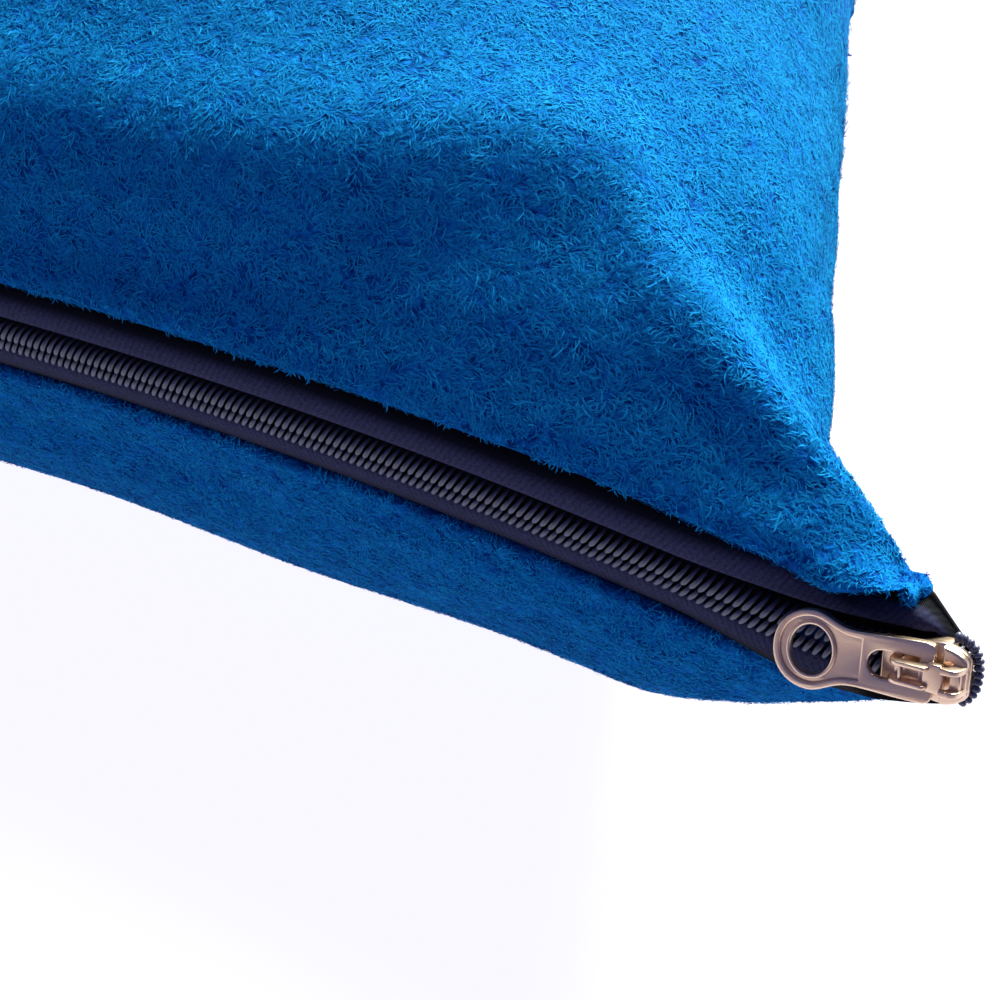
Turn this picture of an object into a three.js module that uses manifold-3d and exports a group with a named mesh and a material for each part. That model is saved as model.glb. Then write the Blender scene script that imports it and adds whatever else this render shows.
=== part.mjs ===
// Blanket pillow: a filled cushion of brushed fleece, closed along one long side by a coil zip.
// Millimetres, +Z up. The origin is under the middle of the pillow, on the surface it rests on.
// The zip side faces -Y, and the slider stands closed at the +X end of the zip.

import * as THREE from "three";
import { mergeVertices } from "three/addons/utils/BufferGeometryUtils.js";
import Module from "manifold-3d";

const wasm = await Module();
wasm.setup();

// Pillow, corner to corner, with how far each side is drawn in at its middle and over what reach
const pillowLength = 380;
const pillowWidth = 330;
const pillowSetBack = 2;
const equatorHeight = 49.5;
const crownHeight = 49.5;
const crownSwell = 7;
const bellyDepth = 52.5;
const frontDrawn = 23;
const frontReach = 141;
const sideDrawn = 31;
const sideReach = 51.5;

// How full the sections are: 2 is an ellipse, and more is squarer
const lengthFullness = 5.3;
const upperFullness = 4.3;
const lowerFullness = 9.3;
const upperRoundness = 0.5;
const lowerRoundness = 0.28;

// Corner ears, which stand up a little and keep a blunt tip
const earLift = 16;
const earReach = 21.5;
const earTipHalf = 4;
const earTipReach = 12;
const seamHalf = 0.5;

// The fold that runs from each upper ear onto the crown, and the hollow behind it
const foldAngle = (39 * Math.PI) / 180;
const foldHeight = 3;
const foldWidth = 6;
const hollowDepth = 4;
const hollowOffset = 14;
const hollowWidth = 8;
const foldRise = 10;
const foldEnd = 62;
const foldFade = 6;
const foldDepthBelow = 14;

// Zip: its line on the front side, and the strip that it fills between the two fleece edges
const zipRise = 6.6;
const zipTipLift = 8.4;
const zipStraight = 13;
const zipStraightSlope = 0.39;
const zipTilt = (8 * Math.PI) / 180;
const zipEndTwist = (22 * Math.PI) / 180;
const zipTwistReach = 26;
const openingUp = 11.1;
const openingUpNearEnd = 8.3;
const openingDown = 8.2;
const openingDepth = 3.2;
const tipSlope = 1.2;
const tipHeight = 0.3;
const tipCutLength = 4.8;
const zipSteps = 56;
const zipOverrun = 4;
const frontCurve = 52;
const clearance = 0.3;
const tapeThickness = 1;
const tapeFoldStart = 4.8;
const coilWidth = 3.05;
const coilThickness = 1.5;
const chainGap = 0.15;

// Slider and pull, with distances along the zip from the +X corner of the pillow
const sliderNear = 0.6;
const sliderLength = 10.4;
const sliderSpread = 0.75;
const sliderShoulder = 4.5;
const sliderMouth = 4.05;
const sliderPlate = 1.1;
const sliderLift = 0.2;
const bridgeWidth = 2.6;
const bridgeTop = 4.7;
const bridgeUnderside = 3.4;
const pullLength = 19.6;
const pullThickness = 1.3;
const pullStart = 4;
const pullLift = 1.75;
const pullTilt = (6.5 * Math.PI) / 180;
const pullRoll = (4 * Math.PI) / 180;

const materials = {
  fleece: new THREE.MeshStandardMaterial({ color: 0x0f6ab8, roughness: 0.95, metalness: 0 }),
  tape: new THREE.MeshStandardMaterial({ color: 0x2b2c45, roughness: 0.8, metalness: 0 }),
  coil: new THREE.MeshStandardMaterial({ color: 0x1d1e2c, roughness: 0.45, metalness: 0 }),
  metal: new THREE.MeshStandardMaterial({ color: 0xb39a86, roughness: 0.3, metalness: 1 }),
};

const smooth = (x) => {
  const t = Math.min(1, Math.max(0, x));
  return t * t * (3 - 2 * t);
};

// How far a side is drawn in at a distance from one of its corners
function drawnIn(distance, length, depth, reach) {
  const near = 1 - Math.exp(-distance / reach);
  const far = 1 - Math.exp(-(length - distance) / reach);
  const middle = 1 - Math.exp(-length / 2 / reach);
  return (depth * near * far) / (middle * middle);
}

// The fold and the hollow of the nearest ear, in millimetres along the surface's normal
function foldAt(fromEndX, fromEndY) {
  const along = fromEndX * Math.cos(foldAngle) + fromEndY * Math.sin(foldAngle);
  const across = fromEndY * Math.cos(foldAngle) - fromEndX * Math.sin(foldAngle);
  const rise = 1 - Math.exp(-((Math.max(along, 0) / foldRise) ** 2));
  const fade = 1 / (1 + Math.exp((along - foldEnd) / foldFade));
  const fold = foldHeight * Math.exp(-((across / foldWidth) ** 2));
  const hollow = hollowDepth * Math.exp(-(((across - hollowOffset) / hollowWidth) ** 2));
  return rise * fade * (fold - hollow);
}

// A point of the fleece: u runs along X and v along Y, from -1 to 1, on the upper or lower panel
function fleecePoint(u, v, upper) {
  const alongX = ((u + 1) / 2) * pillowLength;
  const alongY = ((v + 1) / 2) * pillowWidth;
  const inY = drawnIn(alongX, pillowLength, frontDrawn, frontReach);
  const inX = drawnIn(alongY, pillowWidth, sideDrawn, sideReach);
  const point = new THREE.Vector3(
    u * (pillowLength / 2 - inX),
    v * (pillowWidth / 2 - inY),
    0,
  );
  const fullness = upper ? upperFullness : lowerFullness;
  const sectionX = Math.max(0, 1 - Math.abs(u) ** lengthFullness);
  const sectionY = Math.max(0, 1 - Math.abs(v) ** fullness);
  const height = upper ? crownHeight : -bellyDepth;
  const roundness = upper ? upperRoundness : lowerRoundness;
  const rise = height * Math.sqrt(sectionX) * sectionY ** roundness;
  const fromEndX = pillowLength / 2 - Math.abs(point.x);
  const fromEndY = pillowWidth / 2 - Math.abs(point.y);
  const fromTip = Math.hypot(fromEndX, fromEndY);
  const half = seamHalf + earTipHalf * Math.exp(-fromTip / earTipReach);
  point.z = rise + (upper ? half : -half) + earLift * Math.exp(-fromTip / earReach);
  const slopeX = (lengthFullness * Math.abs(u) ** (lengthFullness - 1) * sectionY) / (pillowLength / 2);
  const slopeY = (fullness * Math.abs(v) ** (fullness - 1) * sectionX) / (pillowWidth / 2);
  const normal = new THREE.Vector3(
    Math.sign(u) * slopeX,
    Math.sign(v) * slopeY,
    (2 * rise) / (height * height),
  );
  if (normal.length() > 1e-6) {
    const below = upper ? 1 : Math.exp(rise / foldDepthBelow);
    point.addScaledVector(normal.normalize(), below * foldAt(fromEndX, fromEndY));
  }
  if (upper) {
    point.z += crownSwell * (1 - u * u) ** 2 * (1 - v * v) ** 2;
  }
  point.z = Math.max(0, point.z + equatorHeight);
  point.y += pillowSetBack;
  return point;
}

// Steps from -1 to 1 that crowd towards both ends, where the surface turns down
function easedSteps(count) {
  const steps = [];
  for (let i = 0; i <= count; i++) {
    const t = (2 * i) / count - 1;
    steps.push(Math.sign(t) * (1 - (1 - Math.abs(t)) ** 1.8));
  }
  return steps;
}

function meshOf(positions, indices) {
  const geometry = new THREE.BufferGeometry();
  geometry.setAttribute("position", new THREE.Float32BufferAttribute(positions, 3));
  geometry.setIndex(indices);
  return geometry;
}

function toSolid(geometry) {
  const bare = geometry.clone();
  bare.deleteAttribute("normal");
  bare.deleteAttribute("uv");
  const merged = mergeVertices(bare, 1e-4);
  const solid = new wasm.Manifold(
    new wasm.Mesh({
      numProp: 3,
      vertProperties: new Float32Array(merged.attributes.position.array),
      triVerts: new Uint32Array(merged.index.array),
    }),
  );
  return solid;
}

function toGeometry(solid) {
  const mesh = solid.getMesh();
  return meshOf(Array.from(mesh.vertProperties), Array.from(mesh.triVerts));
}

function largestOf(solid) {
  return solid.decompose().reduce((a, b) => (a.volume() > b.volume() ? a : b));
}

// Both panels, with the narrow sewn edge between them all the way round
function fleeceShell(stepsX, stepsY) {
  const us = easedSteps(stepsX);
  const vs = easedSteps(stepsY);
  const positions = [];
  const indices = [];
  const columns = us.length;
  const panel = us.length * vs.length;
  for (const upper of [true, false]) {
    for (const v of vs) {
      for (const u of us) {
        positions.push(...fleecePoint(u, v, upper).toArray());
      }
    }
  }
  const quad = (a, b, c, d) => indices.push(a, b, c, a, c, d);
  for (let j = 0; j < vs.length - 1; j++) {
    for (let i = 0; i < columns - 1; i++) {
      const a = j * columns + i;
      quad(a, a + 1, a + 1 + columns, a + columns);
      quad(panel + a, panel + a + columns, panel + a + 1 + columns, panel + a + 1);
    }
  }
  const edge = [];
  for (let i = 0; i < columns - 1; i++) {
    edge.push(i);
  }
  for (let j = 0; j < vs.length - 1; j++) {
    edge.push(j * columns + columns - 1);
  }
  for (let i = columns - 1; i > 0; i--) {
    edge.push((vs.length - 1) * columns + i);
  }
  for (let j = vs.length - 1; j > 0; j--) {
    edge.push(j * columns);
  }
  edge.forEach((a, k) => {
    const b = edge[(k + 1) % edge.length];
    quad(panel + a, panel + b, b, a);
  });
  return meshOf(positions, indices);
}

// The zip climbs onto the ears: straight where a slider stands, and easing out beyond it
function zipLiftAt(fromCorner) {
  if (fromCorner < zipStraight) {
    return zipTipLift - zipStraightSlope * fromCorner;
  }
  const atBend = zipTipLift - zipStraightSlope * zipStraight;
  return atBend * Math.exp((-zipStraightSlope * (fromCorner - zipStraight)) / atBend);
}

// The zip's line on the front side, by its place along X
function zipLine(x) {
  const fromCorner = pillowLength / 2 - Math.abs(x);
  return new THREE.Vector3(
    x,
    pillowSetBack - pillowWidth / 2 + drawnIn(fromCorner, pillowLength, frontDrawn, frontReach),
    equatorHeight + zipRise + zipLiftAt(fromCorner),
  );
}

// A frame that rides on the zip's line: across points up the front side, and out away from it
function zipFrame(x) {
  const along = zipLine(x + 0.5).sub(zipLine(x - 0.5)).normalize();
  const beyondSlider = (fromCornerOf(x) - zipStraight) / zipTwistReach;
  const tilt = zipTilt + zipEndTwist * (1 - smooth(beyondSlider));
  const across = new THREE.Vector3(0, Math.sin(tilt), Math.cos(tilt));
  across.addScaledVector(along, -across.dot(along)).normalize();
  const out = new THREE.Vector3().crossVectors(along, across).normalize();
  return { at: zipLine(x), along, across, out };
}

const fromCornerOf = (x) => Math.max(0, pillowLength / 2 - Math.abs(x));

// The strip narrows where the two panels close in on the tips, and its upper edge ends in a slope
function upEdge(x) {
  const fromEnd = fromCornerOf(x);
  const beyondSlider = smooth((fromEnd - zipStraight + 4) / 16);
  const full = openingUpNearEnd + (openingUp - openingUpNearEnd) * beyondSlider;
  return Math.min(full, tipHeight + tipSlope * fromEnd);
}
const downEdge = (x) => openingDown * (1 - 0.55 * Math.exp(-fromCornerOf(x) / 9));

// The front side curves away from the zip above and below it
const bend = (w) => -(w * w) / (2 * frontCurve);

// The chain opens around the slider's neck, at the slider's end only
const spreadAt = (x) => sliderSpread * smooth((x - (pillowLength / 2 - 6.4)) / 2.4);

// Beyond the slider the strip is too narrow for the folded lip, which flattens towards the tips
const foldShareAt = (x) => smooth((fromCornerOf(x) - 3.5) / 5);

// A closed loop of [across, out] points, which may change along the zip, swept from one x to another
function alongZip(loopAt, fromX, toX, steps) {
  const positions = [];
  const indices = [];
  const outline = loopAt(fromX).map(([w, n]) => new THREE.Vector2(w, n));
  const turned = THREE.ShapeUtils.isClockWise(outline);
  if (turned) {
    outline.reverse();
  }
  const count = outline.length;
  for (let k = 0; k <= steps; k++) {
    const t = k / steps;
    const x = fromX + (toX - fromX) * (0.35 * t + 0.65 * smooth(t));
    const frame = zipFrame(x);
    const loop = turned ? loopAt(x).reverse() : loopAt(x);
    for (const [w, n] of loop) {
      const point = frame.at.clone().addScaledVector(frame.across, w).addScaledVector(frame.out, n);
      positions.push(...point.toArray());
    }
  }
  for (let k = 0; k < steps; k++) {
    for (let i = 0; i < count; i++) {
      const a = k * count + i;
      const b = k * count + ((i + 1) % count);
      indices.push(a, a + count, b, b, a + count, b + count);
    }
  }
  for (const [a, b, c] of THREE.ShapeUtils.triangulateShape(outline, [])) {
    indices.push(a, b, c);
    indices.push(steps * count + a, steps * count + c, steps * count + b);
  }
  return meshOf(positions, indices);
}

// Makes sure that the faces point out, whichever way round the loop was written
function facingOut(geometry) {
  const position = geometry.attributes.position;
  const index = geometry.index.array;
  const corners = [new THREE.Vector3(), new THREE.Vector3(), new THREE.Vector3()];
  let volume = 0;
  for (let i = 0; i < index.length; i += 3) {
    corners.forEach((corner, k) => corner.fromBufferAttribute(position, index[i + k]));
    volume += corners[0].dot(corners[1].clone().cross(corners[2])) / 6;
  }
  if (volume < 0) {
    for (let i = 0; i < index.length; i += 3) {
      [index[i + 1], index[i + 2]] = [index[i + 2], index[i + 1]];
    }
  }
  return geometry;
}

// What the zip takes out of the pillow's front: a shallow trough from corner to corner
function openingLoop(x) {
  const up = upEdge(x);
  const down = -downEdge(x);
  const depth = 30;
  const floor = [];
  for (let i = 0; i <= 5; i++) {
    const w = down + ((up - down) * i) / 5;
    floor.push([w, -openingDepth + bend(w)]);
  }
  return [[up, depth], [down, depth], ...floor];
}

// A deeper pocket at the slider, for its back plate
function pocketLoop() {
  const half = 6.2;
  const depth = -openingDepth - 1.8;
  return [[half, 0], [-half, 0], [-half, depth], [half, depth]];
}

// What slopes off the top of an ear's tip, so that the tape forms its end
function tipLoop(x) {
  const low = upEdge(x) - 0.3;
  const far = 30;
  return [[low, far], [low, -far], [low + far, -far], [low + far, far]];
}

function pillow() {
  const reach = pillowLength / 2 + zipOverrun;
  const tipFrom = pillowLength / 2 - tipCutLength;
  const cuts = [
    alongZip(openingLoop, -reach, reach, zipSteps),
    alongZip(pocketLoop, pillowLength / 2 - 14, reach, 6),
    alongZip(tipLoop, tipFrom, reach, 6),
    alongZip(tipLoop, -reach, -tipFrom, 6),
  ];
  const shell = toSolid(facingOut(fleeceShell(40, 36)));
  const cut = cuts.reduce((solid, tool) => solid.subtract(toSolid(facingOut(tool))), shell);
  return toGeometry(largestOf(cut));
}

// A tape lies on the trough's floor and carries its coil. The upper one folds forward above the coil
function upperTapeLoop(x) {
  const inner = chainGap + 0.1 + spreadAt(x);
  const edge = Math.max(upEdge(x) - clearance, inner + 0.8);
  const back = (w) => -openingDepth + clearance + bend(w);
  const front = back(0) + tapeThickness;
  const lip = 0.15 + 1.25 * foldShareAt(x);
  const fold = Math.min(tapeFoldStart + spreadAt(x), inner + 0.67 * (edge - inner));
  const middle = (inner + edge) / 2;
  const thin = Math.min(0.2, (edge - fold) / 4);
  const crest = fold + 0.4 * (edge - fold);
  const slope = fold + 0.75 * (edge - fold);
  return [
    [inner, back(inner)],
    [middle, back(middle)],
    [edge, back(edge)],
    [edge, back(edge) + tapeThickness],
    [slope, back(slope) + tapeThickness + 0.35 * lip],
    [crest, front + lip],
    [fold + 0.7 * thin, front + 0.85 * lip],
    [fold, front + 0.2 * lip],
    [fold - thin, front],
    [inner, front],
  ];
}

function lowerTapeLoop(x) {
  const inner = -chainGap - 0.1 - spreadAt(x);
  const edge = -downEdge(x) + clearance;
  const back = (w) => -openingDepth + clearance + bend(w);
  const front = back(0) + tapeThickness;
  return [
    [inner, back(inner)],
    [inner, front],
    [edge * 0.72, front - 0.1],
    [edge, back(edge) + tapeThickness],
    [edge, back(edge)],
  ];
}

// A coil row, with its rounded face, on one side of the chain
function coilLoop(side) {
  return (x) => {
    const inner = chainGap + spreadAt(x);
    const base = -openingDepth + 2 * clearance + tapeThickness;
    const top = base + coilThickness;
    const loop = [
      [inner, base],
      [inner + coilWidth, base],
      [inner + coilWidth, top - 0.6],
      [inner + coilWidth - 0.6, top],
      [inner + 0.4, top],
      [inner, top - 0.4],
    ];
    return loop.map(([w, n]) => [side * w, n]);
  };
}

function zipStrip(loopAt) {
  const reach = pillowLength / 2 + zipOverrun;
  const strip = toSolid(facingOut(alongZip(loopAt, -reach, reach, zipSteps)));
  const between = new THREE.BoxGeometry(pillowLength, 2 * pillowWidth, 4 * equatorHeight);
  return toGeometry(strip.intersect(toSolid(between)));
}

// A flat piece from its outline, with distances along the zip to the left and across it
function flatPiece(shape, thickness, bevel) {
  return new THREE.ExtrudeGeometry(shape, {
    depth: thickness - 2 * bevel,
    bevelEnabled: bevel > 0,
    bevelThickness: bevel,
    bevelSize: bevel,
    bevelOffset: -bevel,
    bevelSegments: 1,
    curveSegments: 8,
  }).translate(0, 0, bevel);
}

// The slider's heart-shaped outline: broad shoulders at the end, narrower at its mouth
function sliderOutline(inset) {
  const shape = new THREE.Shape();
  const shoulder = sliderShoulder - inset;
  const mouth = sliderMouth - inset;
  const end = sliderLength - inset;
  shape.moveTo(inset, -1.9);
  shape.quadraticCurveTo(inset + 0.3, -shoulder + 0.4, 3, -shoulder);
  shape.bezierCurveTo(4.6, -shoulder, 5.4, -mouth - 0.2, 7.2, -mouth);
  shape.lineTo(end - 0.8, -mouth);
  shape.quadraticCurveTo(end, -mouth, end, -mouth + 0.8);
  shape.lineTo(end, mouth - 0.8);
  shape.quadraticCurveTo(end, mouth, end - 0.8, mouth);
  shape.lineTo(7.2, mouth);
  shape.bezierCurveTo(5.4, mouth + 0.2, 4.6, shoulder, 3, shoulder);
  shape.quadraticCurveTo(inset + 0.3, shoulder - 0.4, inset, 1.9);
  shape.closePath();
  return shape;
}

// The bridge that the pull swings on, seen from the side, as an arch over the plate
function bridgeOutline() {
  const foot = sliderLift + sliderPlate - 0.3;
  const shape = new THREE.Shape();
  shape.moveTo(0.6, foot);
  shape.lineTo(1.2, bridgeTop - 1);
  shape.quadraticCurveTo(1.5, bridgeTop, 2.8, bridgeTop);
  shape.lineTo(7.8, bridgeTop);
  shape.quadraticCurveTo(9.3, bridgeTop - 0.2, 9.6, foot);
  shape.lineTo(8.2, foot);
  shape.quadraticCurveTo(8.1, bridgeUnderside, 7.2, bridgeUnderside);
  shape.lineTo(3.2, bridgeUnderside);
  shape.quadraticCurveTo(2.4, bridgeUnderside, 2.3, foot);
  shape.closePath();
  return shape;
}

// Front plate with its two flanges, back plate, the neck between the plates, and the bridge
function sliderGeometry() {
  const backTop = -openingDepth;
  const flangeFoot = -openingDepth + 2 * clearance + tapeThickness + 0.4;
  const plateTop = sliderLift + sliderPlate;
  const walls = flatPiece(sliderOutline(0), plateTop - flangeFoot, 0.25).translate(0, 0, flangeFoot);
  const channel = flatPiece(channelOutline(), sliderLift - flangeFoot + 1, 0).translate(0, 0, flangeFoot - 1);
  const backPlate = flatPiece(sliderOutline(0.5), 1, 0).translate(0.5, 0, backTop - 1);
  const neck = new THREE.BoxGeometry(1.8, 1.1, plateTop - backTop + 0.4);
  neck.translate(2.1, 0, (plateTop - 0.3 + backTop - 0.5) / 2);
  const bridge = flatPiece(bridgeOutline(), bridgeWidth, 0.2);
  bridge.rotateX(Math.PI / 2).translate(0, bridgeWidth / 2, 0);
  return toGeometry(
    toSolid(walls)
      .subtract(toSolid(channel))
      .add(toSolid(backPlate))
      .add(toSolid(neck))
      .add(toSolid(bridge)),
  );
}

// The room under the front plate, in which both rows of the coil lie
function channelOutline() {
  const shoulder = chainGap + coilWidth + sliderSpread + 0.15;
  const mouth = chainGap + coilWidth + clearance;
  const shape = new THREE.Shape();
  shape.moveTo(-1, -shoulder);
  shape.lineTo(4.6, -shoulder);
  shape.lineTo(6.6, -mouth);
  shape.lineTo(sliderLength + 1, -mouth);
  shape.lineTo(sliderLength + 1, mouth);
  shape.lineTo(6.6, mouth);
  shape.lineTo(4.6, shoulder);
  shape.lineTo(-1, shoulder);
  shape.closePath();
  return shape;
}

// The pull: a slotted end that rides on the bridge, a waist, and a ring
function pullOutline() {
  const ringAt = pullLength - 4.7;
  const shape = new THREE.Shape();
  shape.moveTo(0, -2.6);
  shape.quadraticCurveTo(0, -3.7, 1.2, -3.75);
  shape.bezierCurveTo(6, -3.7, 8.5, -3.2, 10.4, -3.6);
  shape.bezierCurveTo(12, -4.1, 13, -5.3, ringAt, -5.35);
  shape.bezierCurveTo(ringAt + 2.9, -5.3, pullLength, -3.1, pullLength, 0);
  shape.bezierCurveTo(pullLength, 3.1, ringAt + 2.9, 5.3, ringAt, 5.35);
  shape.bezierCurveTo(13, 5.3, 12, 4.1, 10.4, 3.6);
  shape.bezierCurveTo(8.5, 3.2, 6, 3.7, 1.2, 3.75);
  shape.quadraticCurveTo(0, 3.7, 0, 2.6);
  shape.closePath();
  const hole = new THREE.Path();
  hole.absellipse(ringAt, 0, 3, 3.6, 0, 2 * Math.PI, true);
  const slot = new THREE.Path();
  slot.moveTo(1.7, -1.75);
  slot.lineTo(1.7, 1.75);
  slot.lineTo(5.9, 1.75);
  slot.absarc(5.9, 0, 1.75, Math.PI / 2, -Math.PI / 2, true);
  slot.lineTo(1.7, -1.75);
  shape.holes.push(hole, slot);
  return shape;
}

// Puts a piece drawn along the zip from the +X corner, across it and out of it, in its place
function placeOnZip(mesh, fromCorner, out, tilt, roll) {
  const frame = zipFrame(pillowLength / 2 - zipStraight / 2);
  const turned = new THREE.Matrix4().makeBasis(
    frame.along.clone().negate(),
    frame.across.clone().negate(),
    frame.out,
  );
  const place = new THREE.Group();
  place.applyMatrix4(turned);
  place.position.copy(zipLine(pillowLength / 2 - fromCorner)).addScaledVector(frame.out, out);
  mesh.rotation.set(roll, -tilt, 0);
  place.add(mesh);
  return place;
}

function named(name, geometry, material) {
  const mesh = new THREE.Mesh(geometry, material);
  mesh.name = name;
  return mesh;
}

const blanketPillow = new THREE.Group();
blanketPillow.add(named("pillow", pillow(), materials.fleece));
blanketPillow.add(named("zip_tape_upper", zipStrip(upperTapeLoop), materials.tape));
blanketPillow.add(named("zip_tape_lower", zipStrip(lowerTapeLoop), materials.tape));
blanketPillow.add(named("zip_coil_upper", zipStrip(coilLoop(1)), materials.coil));
blanketPillow.add(named("zip_coil_lower", zipStrip(coilLoop(-1)), materials.coil));
const slider = named("zip_slider", sliderGeometry(), materials.metal);
blanketPillow.add(placeOnZip(slider, sliderNear, 0, 0, 0));
const pull = named("zip_pull", flatPiece(pullOutline(), pullThickness, 0.25), materials.metal);
blanketPillow.add(placeOnZip(pull, pullStart, pullLift, pullTilt, pullRoll));

export default blanketPillow;
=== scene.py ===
import math

import bmesh
import bpy
import numpy as np
from mathutils import Matrix, Vector


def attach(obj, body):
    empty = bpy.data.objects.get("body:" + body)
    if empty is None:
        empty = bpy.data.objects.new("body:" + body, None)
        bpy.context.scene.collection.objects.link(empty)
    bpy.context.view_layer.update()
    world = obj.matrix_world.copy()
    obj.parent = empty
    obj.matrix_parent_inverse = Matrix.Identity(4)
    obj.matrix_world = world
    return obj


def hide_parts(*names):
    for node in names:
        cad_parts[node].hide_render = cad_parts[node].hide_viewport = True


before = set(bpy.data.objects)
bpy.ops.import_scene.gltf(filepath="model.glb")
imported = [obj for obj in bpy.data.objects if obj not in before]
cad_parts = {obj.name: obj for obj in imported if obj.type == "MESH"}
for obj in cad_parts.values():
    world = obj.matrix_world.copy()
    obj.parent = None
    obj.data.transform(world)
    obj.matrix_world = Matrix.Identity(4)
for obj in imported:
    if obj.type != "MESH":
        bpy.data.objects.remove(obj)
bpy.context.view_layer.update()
mm = 0.001

# The pillow's form: the same named sizes as its solid has, in millimetres
form = dict(
    length=380, width=330, setBack=2, equator=49.5, crown=49.5, swell=7, belly=52.5,
    frontDrawn=23, frontReach=141, sideDrawn=31, sideReach=51.5,
    lengthFull=5.3, upperFull=4.3, lowerFull=9.3, upperRound=0.5, lowerRound=0.28,
    earLift=16, earReach=21.5, earTip=4, earTipReach=12, seamHalf=0.5,
    foldAngle=math.radians(39), foldHeight=3, foldWidth=6, hollowDepth=4, hollowOffset=14,
    hollowWidth=8, foldRise=10, foldEnd=62, foldFade=6, foldDepthBelow=14,
)

# The zip's line and the strip that it fills, in millimetres
zipStrip = dict(
    rise=6.6, tipLift=8.4, straight=13, slope=0.39, tilt=math.radians(8), twist=math.radians(22),
    twistReach=26, up=11.1, upNearEnd=8.3, down=8.2, depth=3.2, pocket=1.9,
    tipSlope=1.2, tipHeight=0.3, curve=52, coilWidth=3.05, spread=0.4, spreadStart=6.4, spreadRun=2.4,
    widenBefore=4, widenRun=16, downLoss=0.55, downReach=9, pocketStart=15, pocketRun=2,
)

# Only what lies in front of this y counts as near the zip
frontUpTo = -100


def smooth(x):
    t = np.clip(x, 0, 1)
    return t * t * (3 - 2 * t)


def drawnIn(distance, length, depth, reach):
    middle = 1 - math.exp(-length / 2 / reach)
    return depth * (1 - np.exp(-distance / reach)) * (1 - np.exp(-(length - distance) / reach)) / middle**2


def foldAt(fromEndX, fromEndY):
    f = form
    along = fromEndX * math.cos(f["foldAngle"]) + fromEndY * math.sin(f["foldAngle"])
    across = fromEndY * math.cos(f["foldAngle"]) - fromEndX * math.sin(f["foldAngle"])
    rise = 1 - np.exp(-((np.maximum(along, 0) / f["foldRise"]) ** 2))
    fade = 1 / (1 + np.exp(np.clip((along - f["foldEnd"]) / f["foldFade"], -50, 50)))
    fold = f["foldHeight"] * np.exp(-((across / f["foldWidth"]) ** 2))
    hollow = f["hollowDepth"] * np.exp(-(((across - f["hollowOffset"]) / f["hollowWidth"]) ** 2))
    return rise * fade * (fold - hollow)


def fleecePoints(u, v, upper):
    f = form
    inY = drawnIn((u + 1) / 2 * f["length"], f["length"], f["frontDrawn"], f["frontReach"])
    inX = drawnIn((v + 1) / 2 * f["width"], f["width"], f["sideDrawn"], f["sideReach"])
    x = u * (f["length"] / 2 - inX)
    y = v * (f["width"] / 2 - inY)
    full = f["upperFull"] if upper else f["lowerFull"]
    sectionX = np.clip(1 - np.abs(u) ** f["lengthFull"], 0, None)
    sectionY = np.clip(1 - np.abs(v) ** full, 0, None)
    height = f["crown"] if upper else -f["belly"]
    rise = height * np.sqrt(sectionX) * sectionY ** (f["upperRound"] if upper else f["lowerRound"])
    fromEndX = f["length"] / 2 - np.abs(x)
    fromEndY = f["width"] / 2 - np.abs(y)
    fromTip = np.hypot(fromEndX, fromEndY)
    half = f["seamHalf"] + f["earTip"] * np.exp(-fromTip / f["earTipReach"])
    z = rise + (half if upper else -half) + f["earLift"] * np.exp(-fromTip / f["earReach"])
    slopeX = np.sign(u) * f["lengthFull"] * np.abs(u) ** (f["lengthFull"] - 1) * sectionY / (f["length"] / 2)
    slopeY = np.sign(v) * full * np.abs(v) ** (full - 1) * sectionX / (f["width"] / 2)
    slopeZ = 2 * rise / height**2
    size = np.sqrt(slopeX**2 + slopeY**2 + slopeZ**2) + 1e-9
    below = 1 if upper else np.exp(rise / f["foldDepthBelow"])
    move = below * foldAt(fromEndX, fromEndY) / size
    x, y, z = x + move * slopeX, y + move * slopeY, z + move * slopeZ
    if upper:
        z = z + f["swell"] * (1 - u * u) ** 2 * (1 - v * v) ** 2
    return np.stack([x, y + f["setBack"], np.maximum(z + f["equator"], 0)], -1)


def zipLine(x):
    s = form["length"] / 2 - np.abs(x)
    atBend = zipStrip["tipLift"] - zipStrip["slope"] * zipStrip["straight"]
    eased = atBend * np.exp(-zipStrip["slope"] * np.maximum(s - zipStrip["straight"], 0) / atBend)
    lift = np.where(s < zipStrip["straight"], zipStrip["tipLift"] - zipStrip["slope"] * s, eased)
    inY = drawnIn(s, form["length"], form["frontDrawn"], form["frontReach"])
    y = form["setBack"] - form["width"] / 2 + inY
    return np.stack([x, y, form["equator"] + zipStrip["rise"] + lift], -1)


def unit(vectors):
    return vectors / np.linalg.norm(vectors, axis=-1, keepdims=True)


def fromCorner(x):
    return np.maximum(0, form["length"] / 2 - np.abs(x))


def zipFrame(x):
    along = unit(zipLine(x + 0.5) - zipLine(x - 0.5))
    untwisted = smooth((fromCorner(x) - zipStrip["straight"]) / zipStrip["twistReach"])
    tilt = zipStrip["tilt"] + zipStrip["twist"] * (1 - untwisted)
    across = np.stack([0 * x, np.sin(tilt), np.cos(tilt)], -1)
    across = unit(across - along * np.sum(across * along, -1, keepdims=True))
    return zipLine(x), along, across, np.cross(along, across)


def onZip(x, w, n):
    at, along, across, out = zipFrame(x)
    return at + across * np.asarray(w)[..., None] + out * np.asarray(n)[..., None]


def zipPlace(points):
    x = points[..., 0].copy()
    for step in range(3):
        at, along, across, out = zipFrame(x)
        x = x + np.sum((points - at) * along, -1) / along[..., 0]
    at, along, across, out = zipFrame(x)
    away = points - at
    return x, np.sum(away * across, -1), np.sum(away * out, -1)


def upEdge(x):
    z = zipStrip
    s = fromCorner(x)
    widened = smooth((s - z["straight"] + z["widenBefore"]) / z["widenRun"])
    full = z["upNearEnd"] + (z["up"] - z["upNearEnd"]) * widened
    return np.minimum(full, z["tipHeight"] + z["tipSlope"] * s)


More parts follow.
